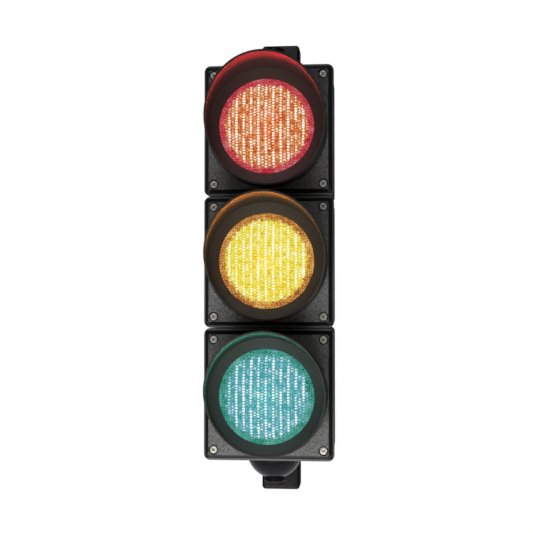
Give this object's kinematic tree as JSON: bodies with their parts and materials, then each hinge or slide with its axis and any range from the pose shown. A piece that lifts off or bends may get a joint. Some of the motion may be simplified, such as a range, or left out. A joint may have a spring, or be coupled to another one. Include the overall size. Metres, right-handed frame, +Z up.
{
  "type": "traffic signal head",
  "caption": "Three-aspect LED traffic signal head with cutaway visors, carried by two swivelling wall arms.",
  "frame": {"origin": "on the wall plane, midway between the two slotted feet of the arms", "axes": "+Z up the stack of modules, +Y into the wall, so the signal faces -Y"},
  "size_m": [0.1406, 0.2744, 0.552],
  "materials": {
    "housing_plastic": "fine matt grain",
    "cover_plastic": "pebble grain",
    "visor_plastic": "satin",
    "cup_plastic": "satin",
    "rubber": "matt",
    "circuit_board": "solder mask",
    "zinc_steel": "zinc plated",
    "die_cast": "as cast",
    "arm_black": "gloss",
    "dome_black": "high gloss",
    "wire_sheath": "smooth",
    "terminal_plastic": "smooth",
    "lens_red": "tinted clear, lit",
    "led_red": "tinted resin",
    "lens_amber": "tinted clear, lit",
    "led_amber": "tinted resin",
    "lens_green": "tinted clear, lit",
    "led_green": "tinted resin"
  },
  "bodies": {
    "lower_bracket": {"cable_grommet": "rubber", "lower_arm": "arm_black", "lower_dome": "dome_black", "lower_dome_plug": "dome_black", "lower_hub_seal": "rubber", "lower_toothed_ring": "die_cast"},
    "head": {"amber_cover": "cover_plastic", "amber_cover_gasket": "rubber", "amber_driver_board": "circuit_board", "amber_funnel_ring": "visor_plastic", "amber_housing": "housing_plastic", "amber_led_board": "circuit_board", "amber_leds": "led_amber", "amber_lens": "lens_amber", "amber_lens_gasket": "rubber", "amber_light_cup": "cup_plastic", "amber_visor": "visor_plastic", "amber_wire": "wire_sheath", "cover_screws": "zinc_steel", "green_cover": "cover_plastic", "green_cover_gasket": "rubber", "green_driver_board": "circuit_board", "green_funnel_ring": "visor_plastic", "green_housing": "housing_plastic", "green_led_board": "circuit_board", "green_leds": "led_green", "green_lens": "lens_green", "green_lens_gasket": "rubber", "green_light_cup": "cup_plastic", "green_visor": "visor_plastic", "green_wire": "wire_sheath", "lower_coupling_nuts": "zinc_steel", "lower_coupling_tube": "zinc_steel", "lower_pivot_nuts": "zinc_steel", "lower_pivot_tube": "zinc_steel", "lower_stack_seal": "rubber", "red_cover": "cover_plastic", "red_cover_gasket": "rubber", "red_driver_board": "circuit_board", "red_funnel_ring": "visor_plastic", "red_housing": "housing_plastic", "red_led_board": "circuit_board", "red_leds": "led_red", "red_lens": "lens_red", "red_lens_gasket": "rubber", "red_light_cup": "cup_plastic", "red_visor": "visor_plastic", "red_wire": "wire_sheath", "terminal_block": "terminal_plastic", "terminal_screws": "zinc_steel", "upper_coupling_nuts": "zinc_steel", "upper_coupling_tube": "zinc_steel", "upper_pivot_nuts": "zinc_steel", "upper_pivot_tube": "zinc_steel", "upper_stack_seal": "rubber"},
    "upper_bracket": {"upper_arm": "arm_black", "upper_dome": "dome_black", "upper_dome_plug": "dome_black", "upper_hub_seal": "rubber", "upper_toothed_ring": "die_cast"}
  },
  "joints": [
    {"name": "head_swivel", "type": "hinge", "parent": "lower_bracket", "child": "head", "pos_m": [0, -0.121, -0.21905], "axis": [0, 0, 1], "range_deg": [-85, 85]},
    {"name": "upper_arm_swivel", "type": "hinge", "parent": "head", "child": "upper_bracket", "pos_m": [0, -0.121, 0.21905], "axis": [0, 0, 1], "range_deg": [-85, 85]}
  ],
  "couplings": [
    {"joint": "upper_arm_swivel", "follows": "head_swivel", "ratio": -1}
  ]
}
